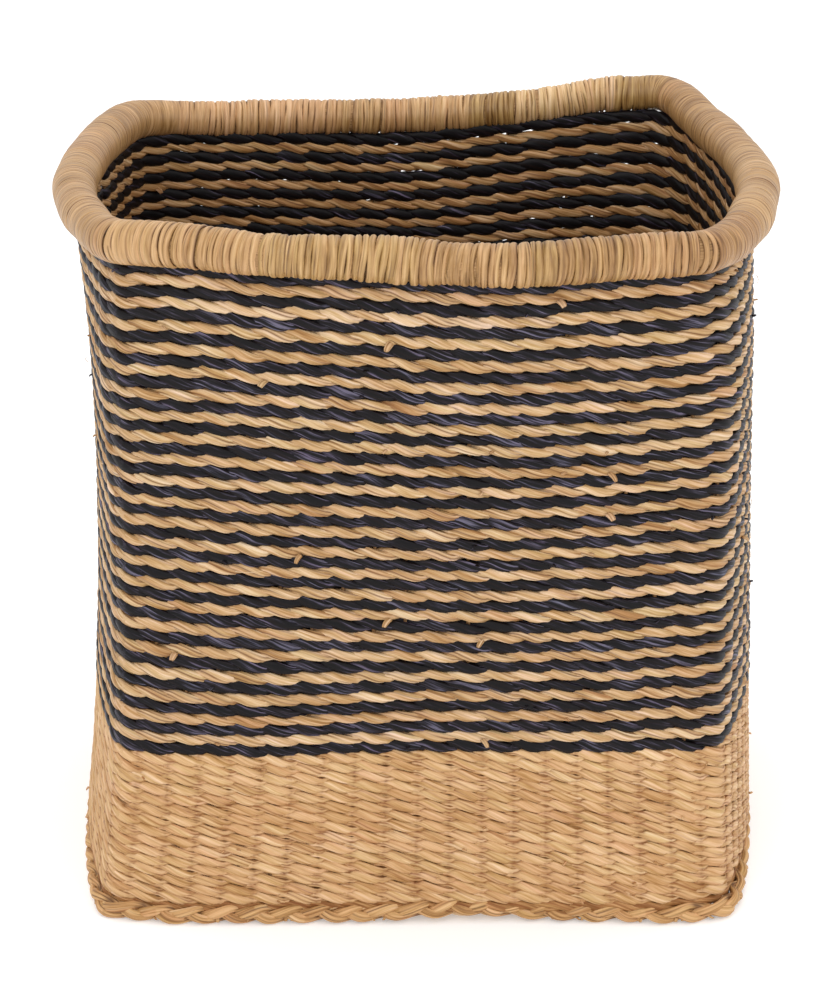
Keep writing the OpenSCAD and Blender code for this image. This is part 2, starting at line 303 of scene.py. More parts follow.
# ---------------------------------------------------------------------------
# Stakes: even steps along each side, one in each corner
# ---------------------------------------------------------------------------
N_FB, N_LR = 18, 16
steps = [N_FB + 1, N_LR + 1, N_FB + 1, N_LR + 1]
STAKE_U = np.concatenate([i + np.arange(steps[i]) / steps[i] for i in range(4)])
NS = len(STAKE_U)
STAKE_U = np.append(STAKE_U, 4.0)


def u_of(w, s=150.0):
    """u at the stake count w, which runs on round the basket. The stakes stand
    a little wider apart in the middle of a side at the foot than at the rim."""
    turn = np.floor(w / NS)
    u = np.interp(w - turn * NS, np.arange(NS + 1), STAKE_U)
    f = u - np.floor(u)
    k = -0.045 + 0.095 * np.clip(s / WALL_H, 0, 1)
    return u + k * np.sin(2 * np.pi * f) / (2 * np.pi) + 4.0 * turn


# ---------------------------------------------------------------------------
# Meshes
# ---------------------------------------------------------------------------


class Bag:
    """Points, faces and per-point values of one piece, put together."""

    def __init__(self):
        self.v, self.q, self.t, self.tone, self.grain, self.deep, self.hue = [], [], [], [], [], [], []
        self.n = 0

    def add(self, V, quads, tris, tone, grain, deep, hue):
        self.v.append(V.reshape(-1, 3))
        if len(quads):
            self.q.append(quads + self.n)
        if len(tris):
            self.t.append(tris + self.n)
        self.tone.append(tone.reshape(-1))
        self.grain.append(grain.reshape(-1, 3))
        self.deep.append(deep.reshape(-1))
        self.hue.append(hue.reshape(-1))
        self.n += V.size // 3

    def sweep(self, V, closed, tone, grain, deep, hue=0.5, caps=True):
        """V is (along, round, 3)."""
        n, k = V.shape[:2]
        idx = np.arange(n * k).reshape(n, k)
        a = idx if closed else idx[:-1]
        b = np.roll(idx, -1, 0) if closed else idx[1:]
        q = np.stack([a, np.roll(a, -1, 1), np.roll(b, -1, 1), b], -1).reshape(-1, 4)
        tris = []
        if not closed and caps:
            V = V.copy()
            for row, flip in ((0, False), (n - 1, True)):
                ring = idx[row]
                o = np.arange(1, k - 1)
                t = np.stack([np.full(k - 2, ring[0]), ring[o], ring[o + 1]], -1)
                tris.append(t[:, ::-1] if flip else t)
            tris = np.concatenate(tris)[:, ::-1]
        self.add(V, q, tris if len(tris) else np.zeros((0, 3), int), np.broadcast_to(tone, (n, k)), grain, np.broadcast_to(deep, (n, k)), np.broadcast_to(hue, (n, k)))

    def mesh(self, name, mat, parts):
        V = np.concatenate(self.v) * MM
        faces = []
        sizes = []
        if self.q:
            Q = np.concatenate(self.q)
            faces.append(Q.reshape(-1))
            sizes.append(np.full(len(Q), 4))
        if self.t:
            T = np.concatenate(self.t)
            if len(T):
                faces.append(T.reshape(-1))
                sizes.append(np.full(len(T), 3))
        loops = np.concatenate(faces).astype(np.int32)
        size = np.concatenate(sizes)
        start = np.concatenate([[0], np.cumsum(size)[:-1]]).astype(np.int32)
        me = bpy.data.meshes.new(name)
        me.vertices.add(len(V))
        me.vertices.foreach_set("co", V.astype(np.float32).ravel())
        me.loops.add(len(loops))
        me.loops.foreach_set("vertex_index", loops)
        me.polygons.add(len(size))
        me.polygons.foreach_set("loop_start", start)
        me.polygons.foreach_set("use_smooth", np.ones(len(size), bool))
        a = me.attributes.new("tone", "FLOAT", "POINT")
        a.data.foreach_set("value", np.concatenate(self.tone).astype(np.float32))
        a = me.attributes.new("deep", "FLOAT", "POINT")
        a.data.foreach_set("value", np.concatenate(self.deep).astype(np.float32))
        a = me.attributes.new("hue", "FLOAT", "POINT")
        a.data.foreach_set("value", np.concatenate(self.hue).astype(np.float32))
        a = me.attributes.new("grain", "FLOAT_VECTOR", "POINT")
        a.data.foreach_set("vector", np.concatenate(self.grain).astype(np.float32).ravel())
        me.update(calc_edges=True)
        me.validate()
        me.materials.append(mat)
        o = bpy.data.objects.new(name, me)
        bpy.context.scene.collection.objects.link(o)
        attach(o, "root")
        for p in parts[0]:
            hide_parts(p)
        return o


# ---------------------------------------------------------------------------
# One twined strand
# ---------------------------------------------------------------------------
SUB = 10
BLADES = 7                 # blades of grass laid together in one strand
K = BLADES * 2
TH = np.arange(K) / K * 2 * np.pi
LAY = 5.14285714           # stake spacings in which the blades turn once


def noise1(rng, n, step):
    """Smooth closed random line of n values with about one hump in each step."""
    m = max(4, int(round(n / step)))
    v = rng.normal(size=m)
    return periodic(v, np.arange(n) / n)


def knots(rng, n, w):
    """A random value at each stake, joined up along w."""
    r = rng.normal(0, 1, n)
    return np.interp(w, np.arange(n + 1), np.append(r, r[0]))


def strand(bag, rng, s0, phase, amp=1.45, drop=1.24, h_out=2.5, h_in=1.92, t_out=1.35, t_in=2.15, tone0=0.5, hue0=0.5, jitter=1.0, inner_shade=0.19, shade=0.5, seams=0.9, pinch=0.18, inside=1.0):
    n = NS * SUB
    w = np.arange(n) / SUB
    seg = (np.floor(w + 0.5 + 1e-6).astype(int)) % NS
    # each crossing is a little early or late
    phi = np.pi * w + phase + 0.16 * jitter * knots(rng, NS, w)
    co, si = np.cos(phi), np.sin(phi)
    out = np.abs(co)
    size = 1 + 0.07 * jitter * knots(rng, NS, w)
    lift = 0.16 * jitter * knots(rng, NS, w) + 0.25 * noise1(rng, n, SUB * 5.0)
    a = amp + 0.14 * jitter * knots(rng, NS, w)
    dr = drop * (1 + 0.15 * jitter * knots(rng, NS, w))
    rad = a * np.sign(co) * out ** 1.15
    # each strand runs straight down across two stakes, then straight back up
    ver = -dr * np.arcsin(0.85 * si) / math.asin(0.85) + lift
    hh = (h_in + (h_out - h_in) * out ** 1.1) * size
    # and swell where the wall is pulled taller
    uu = u_of(w, s0)
    pull = (dz_at(uu, np.full(n, s0 + 5.0)) - dz_at(uu, np.full(n, s0 - 5.0))) / 10
    hh = hh * np.clip(1 + 1.1 * pull, 0.9, 1.4)
    hh = hh * (1 + (inside - 1) * np.sqrt(np.clip(-co, 0, 1)))
    # the left wall is pulled tight on its inner face
    tight = smooth01((np.mod(uu, 4.0) - 3.0) / 0.15)
    rad = np.where(co < 0, rad * (1 - 0.6 * tight), rad)
    # where it comes out from under its fellow it is pinched and in shade
    turnb = np.mod(phi + np.pi / 2 + np.pi, 2 * np.pi) - np.pi
    head = np.exp(-((turnb - 0.12) / 0.30) ** 2)
    tt = t_in + (t_out - t_in) * out
    # blades turn slowly round the strand, and each seam between two of them
    # opens and closes on its way
    g = np.zeros((n, K))
    for b in range(BLADES):
        g[:, 2 * b] = np.clip(0.6 + 0.45 * noise1(rng, n, SUB * 1.3), 0.05, 1.25)
    rot = -2 * np.pi * w / LAY + 0.18 * noise1(rng, n, SUB * 2.0) + rng.uniform(0, 6.28)
    th = TH[None, :] + rot[:, None]
    ct, st = np.cos(th), np.sin(th)
    cut = 1.03 - 0.17 * g
    X = tt[:, None] * np.sign(ct) * np.abs(ct) ** 0.75 * cut
    Y = hh[:, None] * np.sign(st) * np.abs(st) ** 0.92 * cut
    tail = np.exp(-((np.abs(turnb) - np.pi + 0.12) / 0.30) ** 2) * (turnb > 0)
    upper = np.clip(st * head[:, None], 0, 1) + np.clip(-st * tail[:, None], 0, 1)
    X = X * (1 - 0.5 * pinch * upper)
    Y = Y * (1 - pinch * upper)
    u = u_of(w, s0)
    P, N3 = surf(u, np.full(n, s0), rad)
    P[:, 2] += ver
    T = np.roll(P, -1, 0) - np.roll(P, 1, 0)
    T /= np.linalg.norm(T, axis=1)[:, None]
    side = N3 - T * np.sum(N3 * T, 1)[:, None]
    side /= np.linalg.norm(side, axis=1)[:, None]
    up = np.cross(side, T)
    up *= np.where(up[:, 2:3] < 0, -1, 1)
    V = P[:, None] + X[..., None] * side[:, None] + Y[..., None] * up[:, None]
    L = np.concatenate([[0], np.cumsum(np.linalg.norm(np.diff(P, axis=0), axis=1))])
    grain = np.zeros((n, K, 3))
    grain[..., 0] = L[:, None] + 977.0 * rng.random()
    grain[..., 1] = 1.9 * np.cos(TH)[None, :]
    grain[..., 2] = 1.9 * np.sin(TH)[None, :]
    # tone and hue of each blade over the length it was cut to
    which = (np.arange(K) // 2)
    tone = np.full((n, K), float(tone0))
    hue = np.full((n, K), float(hue0))
    run = np.cumsum(rng.random(NS) < 0.07)
    tone += 0.04 * rng.normal(0, 1, NS + 2)[run][seg][:, None]
    hue += 0.05 * rng.normal(0, 1, NS + 2)[run][seg][:, None]
    for b in range(BLADES):
        run = np.cumsum(rng.random(NS) < 0.16)
        bt, bh = rng.normal(0, 1, NS + 2)[run][seg], rng.normal(0, 1, NS + 2)[run][seg]
        cols = which == b
        tone[:, cols] += 0.07 * bt[:, None]
        hue[:, cols] += 0.10 * bh[:, None]
    tone += 0.02 * knots(rng, NS, w)[:, None]
    # the inner face of the wall is painted darker and browner, as painted shade inside the basket
    tone -= inner_shade * smooth01((0.2 - (rad[:, None] + X)) / 1.6)
    # deep paints shade into the open seams between blades, around each crossing, and where the strand comes out from
    # under its fellow
    deep = np.clip(seams * g + shade * (0.35 * (1 - out[:, None]) ** 2.2 + 0.9 * upper), 0, 1)
    bag.sweep(V[:, ::-1], True, tone[:, ::-1], grain[:, ::-1], deep[:, ::-1], hue[:, ::-1])
    return P


def nub(bag, rng, w, s0, tone, out=1, length=None, big=False):
    """The cut end of a strand, which stands off the wall and droops."""
    sideways = int(np.floor(float(u_of(np.array([w]), s0)[0]))) % 2 == 1
    if sideways and rng.random() < 0.7:
        return
    length = length or (rng.uniform(3.4, 4.8) if big else rng.uniform(1.8, 3.6))
    u = u_of(np.array([w]), s0)
    P0, N3 = surf(u, np.array([s0]), 2.6 * out)
    P1, _ = surf(u + 0.002, np.array([s0]), 2.6 * out)
    T = (P1 - P0)[0]
    T /= np.linalg.norm(T)
    n3 = N3[0] * out
    up = np.array([0, 0, 1.0])
    sgn = rng.choice([-1.0, 1.0])
    d = n3 * rng.uniform(0.55, 0.9) + T * sgn * rng.uniform(0.1, 0.7)
    d /= np.linalg.norm(d)
    m = 7
    f = np.linspace(0, 1, m)
    droop = rng.uniform(1.5, 3.2) if big else rng.uniform(-0.4, 1.2)
    c = P0[0] + np.outer(np.sin(f * 1.35) * length * 0.62, d) - np.outer(f ** 1.6 * droop, up) + np.outer(f * 0.8 * sgn, T)
    t = np.gradient(c, axis=0)
    t /= np.linalg.norm(t, axis=1)[:, None]
    e1 = T - t * (t @ T)[:, None]
    e1 /= np.linalg.norm(e1, axis=1)[:, None]
    e2 = np.cross(e1, t)
    wdt, thk = (rng.uniform(1.1, 1.7), rng.uniform(0.6, 0.85)) if big else (rng.uniform(0.5, 0.95), rng.uniform(0.3, 0.5))
    kk = 10
    a = np.arange(kk) / kk * 2 * np.pi
    lobe = 1 - 0.16 * (np.arange(kk) % 2)
    taper = np.array([1.0, 1.0, 1.0, 0.97, 0.92, 0.86, rng.uniform(0.6, 0.8)])
    V = c[:, None] + taper[:, None, None] * (wdt * (lobe * np.cos(a))[None, :, None] * e1[:, None] + thk * (lobe * np.sin(a))[None, :, None] * e2[:, None])
    V[-1] += t[-1] * (rng.uniform(-0.35, 0.35, kk))[:, None]
    grain = np.zeros((m, kk, 3))
    grain[..., 0] = (f * length)[:, None] + 31.0 * rng.random()
    grain[..., 1] = np.cos(a) * 1.2
    grain[..., 2] = np.sin(a) * 1.2
    # painted shade in the grooves between the lobes; the cut end is darker
    deep = np.broadcast_to(0.75 * (np.arange(kk) % 2), (m, kk)).copy()
    deep[-1] = 0.5
    bag.sweep(V, False, np.full((m, kk), tone), grain, deep, rng.uniform(0.4, 0.8))


def hair(bag, rng, w, s0, tone, length=14.0, out=1):
    """A loose fibre lying on the wall."""
    m = 9
    f = np.linspace(0, 1, m)
    du = length / 290.0 * rng.choice([-1, 1])
    u = u_of(np.array([w]))[0] + du * f
    bend = rng.uniform(-2.5, 2.5)
    off = (4.1 + 1.0 * np.sin(np.pi * f) * rng.uniform(0.2, 1.0)) * out
    P, N3 = surf(u, s0 + bend * f ** 2 + rng.uniform(-1, 1) * f, off)
    kk = 5
    a = np.arange(kk) / kk * 2 * np.pi
    r = 0.16 * (1 - 0.5 * f)
    e2 = np.array([0, 0, 1.0])
    V = P[:, None] + r[:, None, None] * (np.cos(a)[None, :, None] * N3[:, None] + np.sin(a)[None, :, None] * e2)
    grain = np.zeros((m, kk, 3))
    grain[..., 0] = (f * length)[:, None]
    bag.sweep(V, False, np.full((m, kk), tone), grain, np.zeros((m, kk)))


# ---------------------------------------------------------------------------
# Materials
# ---------------------------------------------------------------------------


def srgb(r, g, b):
    f = lambda c: c / 12.92 if c <= 0.04045 else ((c + 0.055) / 1.055) ** 2.4
    return (f(r / 255), f(g / 255), f(b / 255), 1.0)


def grass(name, stops, seam, hues, rough=0.62, spec=0.35, streak=0.5, slow=0.3, bump=0.3, sheen=0.0, seam_power=2.2, strip=1.0):
    """Split and dried grass: fibres run along each strand, each blade has its own tone and hue, and the deep attribute
    paints shade into the seams between blades, the gaps and the crossings by mixing in the seam colour."""
    m = bpy.data.materials.new(name)
    m.use_nodes = True
    nt = m.node_tree
    nt.nodes.clear()
    N, Lk = nt.nodes.new, nt.links.new

    def attr(n):
        a = N("ShaderNodeAttribute")
        a.attribute_name = n
        return a

    def math_(op, a, b=None, c=None, clamp=False):
        x = N("ShaderNodeMath")
        x.operation = op
        x.use_clamp = clamp
        for i, v in enumerate((a, b, c)):
            if v is None:
                continue
            if isinstance(v, (int, float)):
                x.inputs[i].default_value = v
            else:
                Lk(v, x.inputs[i])
        return x.outputs[0]

    def noise(vec, scale, detail, rough_=0.55):
        mp = N("ShaderNodeMapping")
        mp.inputs["Scale"].default_value = scale
        Lk(vec, mp.inputs["Vector"])
        n = N("ShaderNodeTexNoise")
        n.inputs["Scale"].default_value = 1.0
        n.inputs["Detail"].default_value = detail
        n.inputs["Roughness"].default_value = rough_
        Lk(mp.outputs["Vector"], n.inputs["Vector"])
        return n.outputs["Fac"]

    def ramp(fac, st, mode="LINEAR"):
        r = N("ShaderNodeValToRGB")
        r.color_ramp.interpolation = mode
        els = r.color_ramp.elements
        while len(els) < len(st):
            els.new(0.5)
        for e, (p, c) in zip(els, st):
            e.position = p
            e.color = c
        Lk(fac, r.inputs["Fac"])
        return r.outputs["Color"]

    out = N("ShaderNodeOutputMaterial")
    bs = N("ShaderNodeBsdfPrincipled")
    Lk(bs.outputs["BSDF"], out.inputs["Surface"])
    vec = attr("grain").outputs["Vector"]
    fine = noise(vec, (0.16, 3.4, 3.4), 4.0, 0.6)
    split = noise(vec, (0.055, 1.25, 1.25), 2.5, 0.5)
    coarse = noise(vec, (0.045, 0.6, 0.6), 3.0)
    speck = noise(vec, (0.7, 2.4, 2.4), 2.0)
    t = math_("MULTIPLY_ADD", math_("SUBTRACT", fine, 0.5), streak, attr("tone").outputs["Fac"])
    t = math_("MULTIPLY_ADD", math_("SUBTRACT", split, 0.5), strip, t)
    t = math_("MULTIPLY_ADD", math_("SUBTRACT", coarse, 0.5), slow, t)
    col = ramp(t, stops, "B_SPLINE")
    hu = math_("MULTIPLY_ADD", math_("SUBTRACT", split, 0.5), 1.1, attr("hue").outputs["Fac"])
    tint = ramp(hu, hues)
    mul = N("ShaderNodeMix")
    mul.data_type = "RGBA"
    mul.blend_type = "MULTIPLY"
    mul.inputs["Factor"].default_value = 1.0
    Lk(col, mul.inputs["A"])
    Lk(tint, mul.inputs["B"])
    # painted shade: the deep attribute mixes the colour toward the seam colour in seams, gaps and crossings; the dry
    # flecks below share that colour
    sm = math_("MULTIPLY", math_("POWER", attr("deep").outputs["Fac"], seam_power), 0.9, clamp=True)
    # dry brown flecks here and there
    fleck = math_("MULTIPLY", math_("SUBTRACT", speck, 0.66, clamp=True), 3.0, clamp=True)
    sm = math_("MAXIMUM", sm, math_("MULTIPLY", fleck, 0.6))
    mix = N("ShaderNodeMix")
    mix.data_type = "RGBA"
    Lk(sm, mix.inputs["Factor"])
    Lk(mul.outputs["Result"], mix.inputs["A"])
    mix.inputs["B"].default_value = seam
    Lk(mix.outputs["Result"], bs.inputs["Base Color"])
    rr = N("ShaderNodeMapRange")
    rr.inputs["To Min"].default_value = rough - 0.14
    rr.inputs["To Max"].default_value = rough + 0.16
    Lk(fine, rr.inputs["Value"])
    Lk(rr.outputs["Result"], bs.inputs["Roughness"])
    bs.inputs["Specular IOR Level"].default_value = spec
    bs.inputs["Sheen Weight"].default_value = sheen
    bp = N("ShaderNodeBump")
    bp.inputs["Strength"].default_value = bump
    bp.inputs["Distance"].default_value = 0.0005
    Lk(fine, bp.inputs["Height"])
    Lk(bp.outputs["Normal"], bs.inputs["Normal"])
    return m


# multiplied over the tone: greenish, even, pinkish
STRAW_HUES = [(0.1, (0.92, 0.97, 0.84, 1)), (0.5, (1, 1, 1, 1)), (0.9, (1.0, 0.91, 0.96, 1))]
DYE_HUES = [(0.12, (0.85, 0.95, 1.05, 1)), (0.5, (1, 1, 1, 1)), (0.88, (1.05, 0.88, 0.98, 1))]
natural = grass("natural_grass_fibre", [
    (0.0, srgb(112, 70, 34)), (0.27, srgb(166, 119, 68)), (0.5, srgb(195, 159, 114)),
    (0.73, srgb(214, 184, 146)), (1.0, srgb(233, 213, 186))], srgb(96, 54, 24), STRAW_HUES, rough=0.6, spec=0.3, strip=1.1)
plain_mat = grass("plain_grass_fibre", [
    (0.0, srgb(122, 74, 34)), (0.27, srgb(176, 128, 76)), (0.5, srgb(199, 158, 111)),
    (0.73, srgb(213, 176, 130)), (1.0, srgb(230, 203, 166))], srgb(122, 66, 24), STRAW_HUES, rough=0.6, spec=0.3, strip=1.1)
# the pale blue-grey top of this ramp, spread by strong streak noise, paints sheen streaks and glints on the dyed
# strands along with their own tone variation
dark = grass("dyed_grass_fibre", [
    (0.0, srgb(5, 4, 6)), (0.34, srgb(6, 3, 5)), (0.50, srgb(10, 6, 10)), (0.64, srgb(22, 18, 25)),
    (0.82, srgb(62, 59, 73)), (1.0, srgb(108, 106, 124))], srgb(22, 9, 7), DYE_HUES, rough=0.48, spec=0.2, streak=0.9, strip=2.3)
rim_mat = grass("rim_grass_fibre", [
    (0.0, srgb(98, 60, 28)), (0.25, srgb(148, 106, 59)), (0.5, srgb(181, 141, 92)),
    (0.75, srgb(206, 167, 116)), (1.0, srgb(228, 199, 155))], srgb(88, 52, 22), STRAW_HUES, rough=0.42, spec=0.5, strip=1.1, seam_power=1.6)
braid_mat = grass("braid_grass_fibre", [
    (0.0, srgb(104, 62, 26)), (0.28, srgb(160, 114, 66)), (0.5, srgb(197, 154, 102)),
    (0.75, srgb(209, 170, 120)), (1.0, srgb(229, 198, 154))], srgb(76, 40, 14), STRAW_HUES, rough=0.58, spec=0.3, strip=1.2)
stalk = grass("stalk_fibre", [
    (0.0, srgb(40, 26, 16)), (0.3, srgb(104, 72, 42)), (0.55, srgb(146, 110, 70)),
    (0.8, srgb(180, 142, 98)), (1.0, srgb(210, 178, 134))], srgb(60, 36, 18), STRAW_HUES, rough=0.66, spec=0.3)

# ---------------------------------------------------------------------------
# Wall courses
# ---------------------------------------------------------------------------
master = np.random.default_rng(20316)


def course(bag, rng, s0, tone0, **kw):
    strand(bag, rng, s0, 0.0, tone0=tone0, **kw)
    strand(bag, rng, s0, math.pi, tone0=tone0, **kw)


for k, (name, z) in enumerate(zip(dark_names, DARK_Z)):
    rng = np.random.default_rng(100 + k)
    bag = Bag()
    course(bag, rng, z, 0.5, h_out=2.58, inside=1.2)
    for _ in range(rng.integers(2, 6)):
        nub(bag, rng, rng.uniform(0, NS), z + rng.uniform(-1.5, 1.5), rng.uniform(0.4, 0.8))
    if rng.random() < 0.6:
        nub(bag, rng, rng.uniform(0, NS), z, rng.uniform(0.4, 0.7), out=-1)
    bag.mesh(name + "_strands", dark, ([name], "dyed_grass"))

for k, (name, z) in enumerate(zip(natural_names, NATURAL_Z)):
    rng = np.random.default_rng(200 + k)
    bag = Bag()
    course(bag, rng, z, 0.5 + 0.02 * rng.normal(), h_out=2.33, inside=0.9)
    for _ in range(rng.integers(1, 5)):
        nub(bag, rng, rng.uniform(0, NS), z + rng.uniform(-1.2, 0.6), rng.uniform(0.3, 0.6))
    for _ in range(rng.integers(1, 4)):
        nub(bag, rng, rng.integers(0, NS) + 0.5 + rng.uniform(-0.15, 0.15), z - 1.2, rng.uniform(0.4, 0.62), big=True)
    for _ in range(rng.integers(0, 2)):
        nub(bag, rng, rng.uniform(0, NS), z - 1.0, rng.uniform(0.35, 0.6), out=-1, big=True)
    for _ in range(rng.integers(0, 3)):
        hair(bag, rng, rng.uniform(0, NS), z, rng.uniform(0.5, 0.9), rng.uniform(6, 16))
    bag.mesh(name + "_strands", natural, ([name], "natural_grass"))

plain_pitch = (PLAIN_HI - PLAIN_LO) / PLAIN_N
groups = np.array_split(np.arange(PLAIN_N), 5)
for gi, g in enumerate(groups):
    bag = Bag()
    if gi == 0:
        # the first round, which sits down behind the foot, in a low tone that paints the shadow in the gap above the
        # foot
        course(bag, np.random.default_rng(330), PLAIN_LO - 0.3 * plain_pitch, 0.12, jitter=0.5, amp=0.35, h_out=2.0, h_in=2.2)
    for k in g:
        rng = np.random.default_rng(300 + int(k))
        z = PLAIN_LO + plain_pitch * (k + 0.5) + 0.9 * math.exp(-k / 1.5)
        course(bag, rng, z, 0.55 + 0.02 * rng.normal(), jitter=0.5, amp=1.15, h_out=2.42, h_in=1.9, drop=1.95, t_out=1.25, t_in=2.0, shade=1.25, seams=0.72, pinch=0.7)
        for _ in range(rng.integers(3, 8)):
            nub(bag, rng, rng.uniform(0, NS), z + rng.uniform(-1.5, 1.5), rng.uniform(0.25, 0.7))
        for _ in range(rng.integers(0, 3)):
            hair(bag, rng, rng.uniform(0, NS), z, rng.uniform(0.5, 0.9), rng.uniform(6, 16))
    bag.mesh("plain_band_strands_%d" % (gi + 1), plain_mat, (["plain_courses"], "natural_grass"))

# ---------------------------------------------------------------------------
# Stakes
# ---------------------------------------------------------------------------


def stake_mesh(name, idx):
    bag = Bag()
    for j in idx:
        rng = np.random.default_rng(400 + int(j))
        n, k = 64, 8
        s = np.linspace(3.0, WALL_H + 4.5, n)
        wob = 0.25 * periodic(rng.normal(size=12), np.linspace(0, 0.92, n))
        P, N3 = surf(u_of(np.full(n, float(j)), s) + wob * 0.002, s, wob * 0.3)
        T = np.gradient(P, axis=0)
        T /= np.linalg.norm(T, axis=1)[:, None]
        S = np.cross(N3, T)
        S /= np.linalg.norm(S, axis=1)[:, None]
        a = np.arange(k) / k * 2 * np.pi
        r = 0.85 * (1 + 0.06 * periodic(rng.normal(size=14), np.linspace(0, 0.95, n)))
        V = P[:, None] + r[:, None, None] * (np.cos(a)[None, :, None] * N3[:, None] + np.sin(a)[None, :, None] * S[:, None])
        grain = np.zeros((n, k, 3))
        grain[..., 0] = s[:, None]
        grain[..., 1] = a * 1.5
        grain[..., 2] = j
        tn = 0.42 + 0.08 * rng.normal() - 0.5 * smooth01((s - WALL_H + 8) / 6)
        bag.sweep(V[:, ::-1], False, np.repeat(tn[:, None], k, 1), grain, np.full((n, k), 0.1))
    bag.mesh(name + "_stems", stalk, ([name], "stalk"))


edges = np.cumsum([0] + steps)
front_idx = list(range(edges[0], edges[1])) + [edges[1]]
right_idx = list(range(edges[1] + 1, edges[2]))
back_idx = list(range(edges[2], edges[3])) + [edges[3]]
left_idx = list(range(edges[3] + 1, edges[4]))
stake_mesh("stakes_front", front_idx)
stake_mesh("stakes_right", right_idx)
stake_mesh("stakes_back", back_idx)
stake_mesh("stakes_left", left_idx)

# ---------------------------------------------------------------------------
# Foot: two thick strands laid the other way, like a rope
# ---------------------------------------------------------------------------


def foot_out(u):
    """How far the foot spreads out beyond the even wall."""
    return periodic([1.8, 0.4, 0, -0.2, -0.6, -2.2, -2.4, -1.2, 2.7, 0.9, -1.6, -2.4, -2.6, -2.4, -2.0, -1.4,
                     -0.6, -0.6, -0.6, -0.6, -0.6, -0.6, -0.6, -0.6, -0.6, -1.6, -2.6, -3.2, -3.2, -2.6, -1.6, 0.2], np.asarray(u) / 4.0)


def foot_lift(u):
    """The foot arches up a little near the middle of the front."""
    u = np.mod(np.asarray(u, float), 4.0)
    return 2.4 * np.exp(-((u - 0.585) / 0.075) ** 2)


def foot():
    bag = Bag()
    sub = 54
    plaits = 25                      # turns of the three-strand plait
    n = plaits * sub
    for which in range(3):
        rng = np.random.default_rng(500 + which)
        w = np.arange(n) / sub
        phi = 2 * np.pi * (w - which / 3.0) + 0.16 * noise1(rng, n, sub * 0.7)
        size = 1 + 0.08 * noise1(rng, n, sub * 0.5)
        u = np.mod(w / plaits * 4.0, 4.0)
        front = np.sin(2 * phi + 0.35)
        rad = 1.35 + 1.75 * front + foot_out(u)
        ver = 2.35 * np.sin(phi) * (1 + 0.08 * noise1(rng, n, sub * 0.6))
        P, N3 = surf(u, np.full(n, FOOT_H * 0.5), rad)
        P[:, 2] += ver + 0.15 * noise1(rng, n, sub * 0.8) + foot_lift(u)
        T = np.roll(P, -1, 0) - np.roll(P, 1, 0)
        T /= np.linalg.norm(T, axis=1)[:, None]
        side = N3 - T * np.sum(N3 * T, 1)[:, None]
        side /= np.linalg.norm(side, axis=1)[:, None]
        up = np.cross(T, side)
        up *= np.where(up[:, 2:3] < 0, -1, 1)
        blades = 6
        k = blades * 3
        a = np.arange(k) / k * 2 * np.pi
        spin = 0.9 * np.sin(phi + 0.4) + 0.5 * noise1(rng, n, sub * 0.8)
        opening = np.zeros((n, k))
        for b in range(blades):
            opening[:, 3 * b] = np.clip(0.7 + 0.4 * noise1(rng, n, sub * 0.35), 0.1, 1.2)
        lobe = 1.03 - 0.17 * opening
        rx = 1.95 * (0.92 + 0.10 * front) * size
        ry = 2.35 * (0.90 + 0.14 * front) * size
        th = a[None, :] + spin[:, None]
        V = P[:, None] + (lobe * rx[:, None] * np.cos(th))[..., None] * side[:, None] + (lobe * ry[:, None] * np.sin(th))[..., None] * up[:, None]
        V[..., 2] = np.maximum(V[..., 2], 0.02)
        L = np.concatenate([[0], np.cumsum(np.linalg.norm(np.diff(P, axis=0), axis=1))])
        grain = np.zeros((n, k, 3))
        grain[..., 0] = L[:, None] + 300.0 * which
        grain[..., 1] = 2.0 * np.cos(a)[None, :]
        grain[..., 2] = 2.0 * np.sin(a)[None, :]
        seg = np.floor(2 * w).astype(int)
        bl = np.arange(k) // 3
        tone = 0.5 + 0.05 * rng.normal(0, 1, 2 * plaits + 2)[seg][:, None] + 0.06 * rng.normal(0, 1, (2 * plaits + 2, blades))[seg][:, bl]
        hue = 0.55 + 0.10 * rng.normal(0, 1, (2 * plaits + 2, blades))[seg][:, bl]
        # painted shade in the open seams between blades and where the strand passes behind the other two
        deep = np.clip(0.85 * opening + 0.85 * np.clip(-front, 0, 1)[:, None] ** 1.3, 0, 1)
        bag.sweep(V[:, ::-1], True, tone[:, ::-1], grain[:, ::-1], deep[:, ::-1], hue[:, ::-1])
    # cut ends of the stakes turned under the foot
    rng = np.random.default_rng(560)
    for j in range(NS * 3):
        u = float(np.interp(j / 3.0, np.arange(NS + 1), STAKE_U)) + rng.normal(0, 0.006)
        if rng.random() < 0.30 or float(foot_lift(u)) > 0.2:
            continue
        m, k = 4, 8
        f = np.linspace(0, 1, m)
        lean = rng.normal(0, 0.006)
        P, N3 = surf(u + lean * f, np.full(m, 2.0), 2.7 + 0.2 * f + rng.uniform(-0.4, 0.2) + float(foot_out(np.array([u]))[0]))
        P[:, 2] = rng.uniform(2.5, 3.3) - 1.9 * f + float(foot_lift(u))
        a = np.arange(k) / k * 2 * np.pi
        Tn = np.stack([-N3[:, 1], N3[:, 0], np.zeros(m)], 1)
        r = rng.uniform(0.5, 0.8)
        V = P[:, None] + r * (0.8 * np.cos(a)[None, :, None] * N3[:, None] + 1.2 * np.sin(a)[None, :, None] * Tn[:, None])
        V[..., 2] = np.maximum(V[..., 2], 0.03)
        grain = np.zeros((m, k, 3))
        grain[..., 0] = f[:, None] * 3
        grain[..., 1] = a
        grain[..., 2] = 3.1 * j
        bag.sweep(V, False, np.full((m, k), rng.uniform(0.35, 0.6)), grain, np.full((m, k), 0.3))
    bag.mesh("foot_braid_rope", braid_mat, (["foot_braid"], "braid_grass"))


foot()

# ---------------------------------------------------------------------------
# Base: twined like the wall, round rods that run from front to back
# ---------------------------------------------------------------------------


